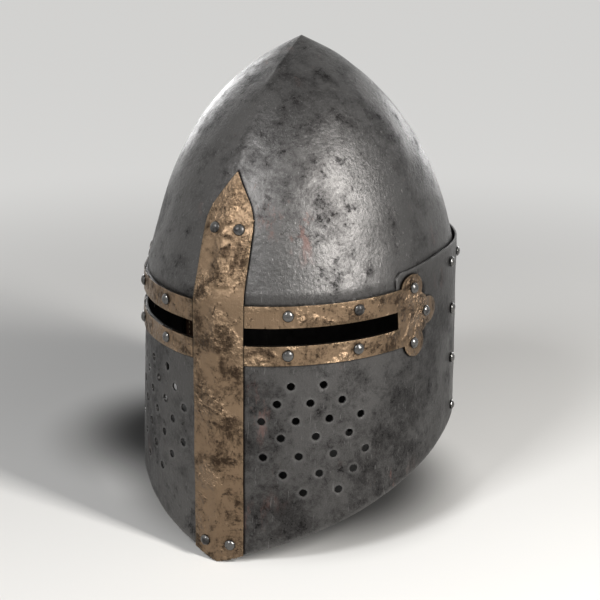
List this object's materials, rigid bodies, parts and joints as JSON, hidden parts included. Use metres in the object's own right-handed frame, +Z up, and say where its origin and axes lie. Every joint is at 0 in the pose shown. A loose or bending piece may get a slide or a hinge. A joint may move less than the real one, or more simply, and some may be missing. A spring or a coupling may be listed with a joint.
{
  "type": "great helm",
  "caption": "Riveted steel great helm with a pointed skull, a brass keel bar, brass-edged eye slits with clover ends, drilled cheeks, a padded lining and a buckled chin strap.",
  "frame": {"origin": "under the middle of the helm's bounding box, on the level surface it stands on", "axes": "+Z up, -Y towards the front (the keel bar), +X towards the wearer's left"},
  "size_m": [0.249, 0.2882, 0.3745],
  "materials": {
    "aged_steel": "dark, mottled and lightly pitted",
    "aged_brass": "aged, browned and scratched",
    "rivet_iron": "smooth dark domes",
    "washer_iron": "dull",
    "liner_leather": "matte vegetable-tanned",
    "padded_linen": "matte quilted cloth",
    "strap_leather": "matte",
    "buckle_brass": "worn satin"
  },
  "bodies": {
    "helm": {"skull": "aged_steel", "face_plate": "aged_steel", "back_plate": "aged_steel", "keel_bar": "aged_brass", "sight_band_left": "aged_brass", "sight_band_right": "aged_brass", "keel_bar_rivets": "rivet_iron", "sight_rivets_left": "rivet_iron", "sight_rivets_right": "rivet_iron", "seam_rivets_left": "rivet_iron", "seam_rivets_right": "rivet_iron", "back_rivets": "rivet_iron", "strap_rivets": "rivet_iron", "lining_washers": "washer_iron", "strap_washers": "washer_iron", "lining_band": "liner_leather", "lining_crown_ring": "liner_leather", "lining_petal_front": "padded_linen", "lining_petal_front_left": "padded_linen", "lining_petal_back_left": "padded_linen", "lining_petal_back": "padded_linen", "lining_petal_back_right": "padded_linen", "lining_petal_front_right": "padded_linen"},
    "chin_strap_left": {"chin_strap_left": "strap_leather"},
    "chin_strap_right": {"chin_strap_right": "strap_leather"},
    "buckle_frame": {"buckle_frame": "buckle_brass"},
    "buckle_tongue": {"buckle_tongue": "buckle_brass"}
  },
  "joints": [
    {"name": "chin_strap_left_swing", "type": "hinge", "parent": "helm", "child": "chin_strap_left", "pos_m": [0.11941, 0.03098, 0.165], "axis": [0.9951, 0.099, 0], "range_deg": [-20, 12]},
    {"name": "chin_strap_right_swing", "type": "hinge", "parent": "helm", "child": "chin_strap_right", "pos_m": [-0.11941, 0.03098, 0.165], "axis": [0.9951, -0.099, 0], "range_deg": [-20, 8]},
    {"name": "buckle_frame_turn", "type": "hinge", "parent": "chin_strap_left", "child": "buckle_frame", "pos_m": [0.11224, 0.03027, 0.113], "axis": [-0.099, 0.9951, 0], "range_deg": [-5, 60]},
    {"name": "buckle_tongue_turn", "type": "hinge", "parent": "buckle_frame", "child": "buckle_tongue", "pos_m": [0.11224, 0.03027, 0.113], "axis": [-0.099, 0.9951, 0], "range_deg": [0, 60]}
  ]
}
